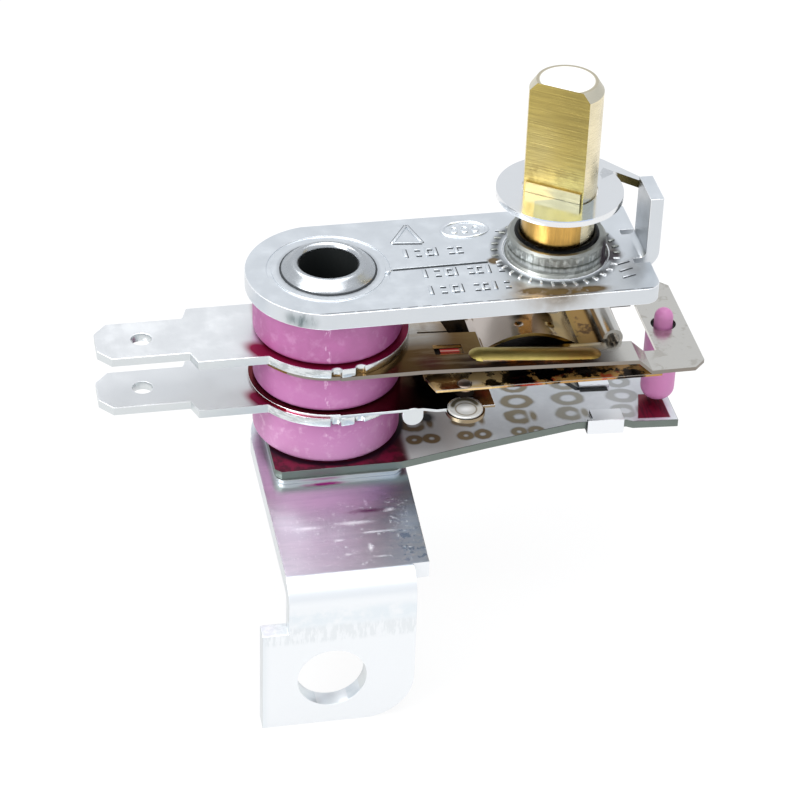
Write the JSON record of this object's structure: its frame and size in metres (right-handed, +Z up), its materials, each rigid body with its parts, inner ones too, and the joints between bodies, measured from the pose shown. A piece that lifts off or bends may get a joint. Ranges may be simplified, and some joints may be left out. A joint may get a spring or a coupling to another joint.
{
  "type": "oven temperature control switch",
  "caption": "Adjustable bimetal temperature switch with a D-shaped brass spindle, ceramic ring stack, spade terminals and a bent mounting bracket.",
  "frame": {"origin": "axis of the hollow rivet at the top face of the top plate", "axes": "+X from the rivet to the spindle, +Z up along the spindle, +Y away from the bracket's flange"},
  "size_m": [0.0499, 0.0278, 0.0461],
  "materials": {
    "plated_plate": "satin nickel-plated sheet with faint stamping marks",
    "bright_steel": "bright plated steel",
    "dull_steel": "dull steel with traces of thread oil",
    "terminal_plate": "pale satin-plated sheet",
    "zinc_bracket": "bright zinc-plated sheet",
    "spindle_brass": "turned brass with a milled flat",
    "spring_alloy": "heat-tinted spring sheet, bronze to olive",
    "silver_contact": "silver contact face",
    "bimetal": "mirror-like strip with brown stamped marks",
    "pink_ceramic": "matt pink sintered ceramic",
    "white_ceramic": "matt white ceramic",
    "seal_rubber": "black, slightly glossy"
  },
  "bodies": {
    "frame": {"top_plate": "plated_plate", "spindle_bush": "dull_steel", "seal_ring": "seal_rubber", "eyelet": "bright_steel", "upper_ring": "pink_ceramic", "middle_ring": "pink_ceramic", "lower_ring": "pink_ceramic", "upper_terminal": "terminal_plate", "lower_terminal": "terminal_plate", "contact_leaf": "spring_alloy", "upper_arm": "spring_alloy", "bow_spring": "spring_alloy", "fixed_contact": "silver_contact", "bimetal_strip": "bimetal", "bimetal_clip": "bright_steel", "backing_plate": "dull_steel", "mounting_bracket": "zinc_bracket"},
    "feed": {"thrust_bead": "white_ceramic"},
    "spindle": {"spindle": "spindle_brass", "stop_disc": "bright_steel"},
    "blade": {"contact_blade": "spring_alloy", "moving_contact": "silver_contact"},
    "pin": {"push_pin": "pink_ceramic"}
  },
  "joints": [
    {"name": "spindle_feed", "type": "slide", "parent": "frame", "child": "feed", "axis": [0, 0, 1], "range_m": [0, 0.0006666]},
    {"name": "spindle_turn", "type": "hinge", "parent": "feed", "child": "spindle", "pos_m": [0.01895, 0, 0], "axis": [0, 0, 1], "range_deg": [0, 320]},
    {"name": "contact_snap", "type": "hinge", "parent": "frame", "child": "blade", "pos_m": [0.027, 0, -0.00845], "axis": [0, 1, 0], "range_deg": [-3.2, 0], "stiffness_Nm_per_rad": 0.002},
    {"name": "pin_travel", "type": "slide", "parent": "frame", "child": "pin", "axis": [0, 0, 1], "range_m": [-0.00024, 0]}
  ],
  "couplings": [
    {"joint": "spindle_turn", "follows": "spindle_feed", "rad_per_m": 8377.6},
    {"joint": "contact_snap", "follows": "pin_travel", "rad_per_m": 232.6}
  ]
}
